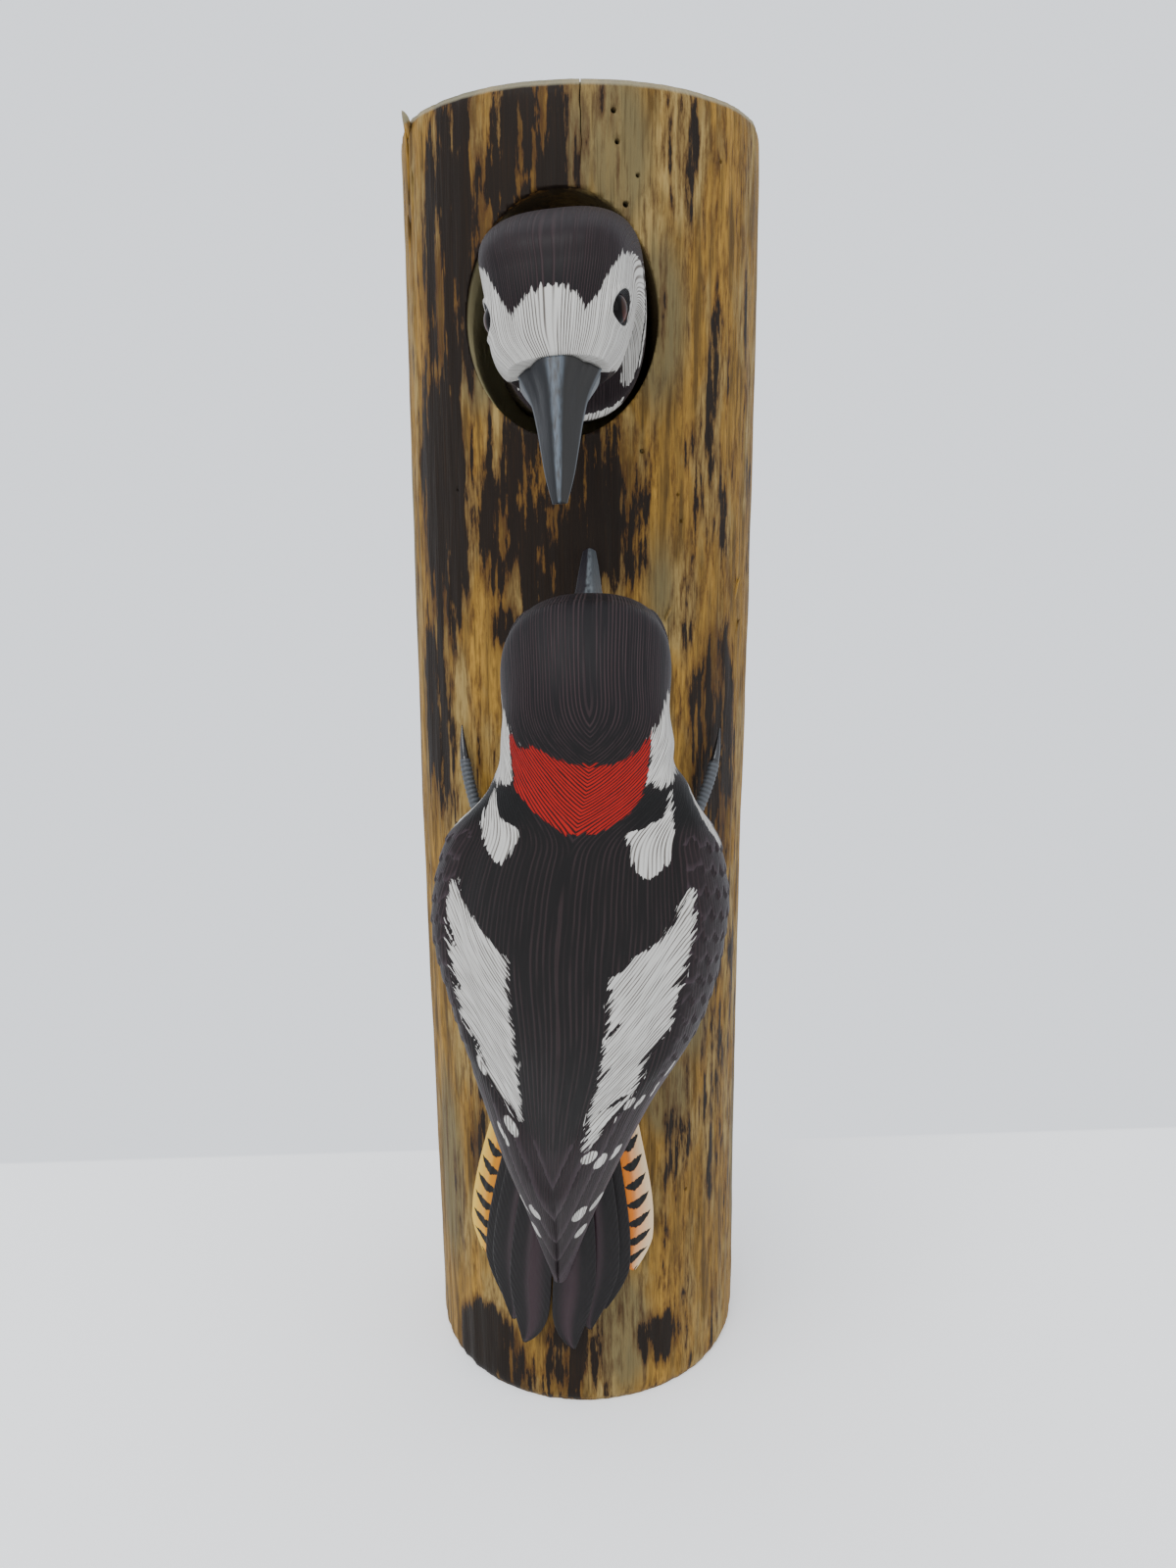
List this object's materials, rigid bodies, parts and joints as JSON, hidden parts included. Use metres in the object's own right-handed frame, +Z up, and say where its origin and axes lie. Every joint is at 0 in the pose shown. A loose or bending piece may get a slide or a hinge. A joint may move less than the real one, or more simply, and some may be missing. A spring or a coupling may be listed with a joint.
{
  "type": "carved woodpecker ornament on a log",
  "caption": "Upright sawn log with a carved and painted great spotted woodpecker clinging to its front and a mate's head looking down out of a round nest hole near the top.",
  "frame": {"origin": "centre of the log's sawn foot, on the surface it stands on", "axes": "+Z up along the log; -Y is the front, the side with the birds; +X is to the right for a viewer at the front"},
  "size_m": [0.0922, 0.1554, 0.34],
  "materials": {
    "log_wood": "bare debarked log, stained and lightly sealed",
    "black_paint": "carved wood under satin black paint, feather lines burnt in",
    "barred_paint": "carved wood under satin yellow and orange paint with dark bars",
    "bill_paint": "carved wood under satin slate grey paint",
    "foot_metal": "cast soft metal, dull grey",
    "eye_glass": "glossy dark red-brown"
  },
  "bodies": {
    "root": {"log": "log_wood", "bird_head": "black_paint", "bird_neck": "black_paint", "bird_bill_upper": "bill_paint", "bird_bill_lower": "bill_paint", "bird_eye_left": "eye_glass", "bird_eye_right": "eye_glass", "nest_bird_head": "black_paint", "nest_bird_neck": "black_paint", "nest_bird_bill_upper": "bill_paint", "nest_bird_bill_lower": "bill_paint", "nest_bird_eye_left": "eye_glass", "nest_bird_eye_right": "eye_glass", "bird_trunk": "black_paint", "bird_wing_left": "black_paint", "foot_left": "foot_metal", "bird_tail_inner_left": "black_paint", "bird_tail_second_left": "black_paint", "bird_tail_third_left": "black_paint", "bird_tail_barred_left": "barred_paint", "bird_wing_right": "black_paint", "foot_right": "foot_metal", "bird_tail_inner_right": "black_paint", "bird_tail_second_right": "black_paint", "bird_tail_third_right": "black_paint", "bird_tail_barred_right": "barred_paint"}
  },
  "joints": []
}
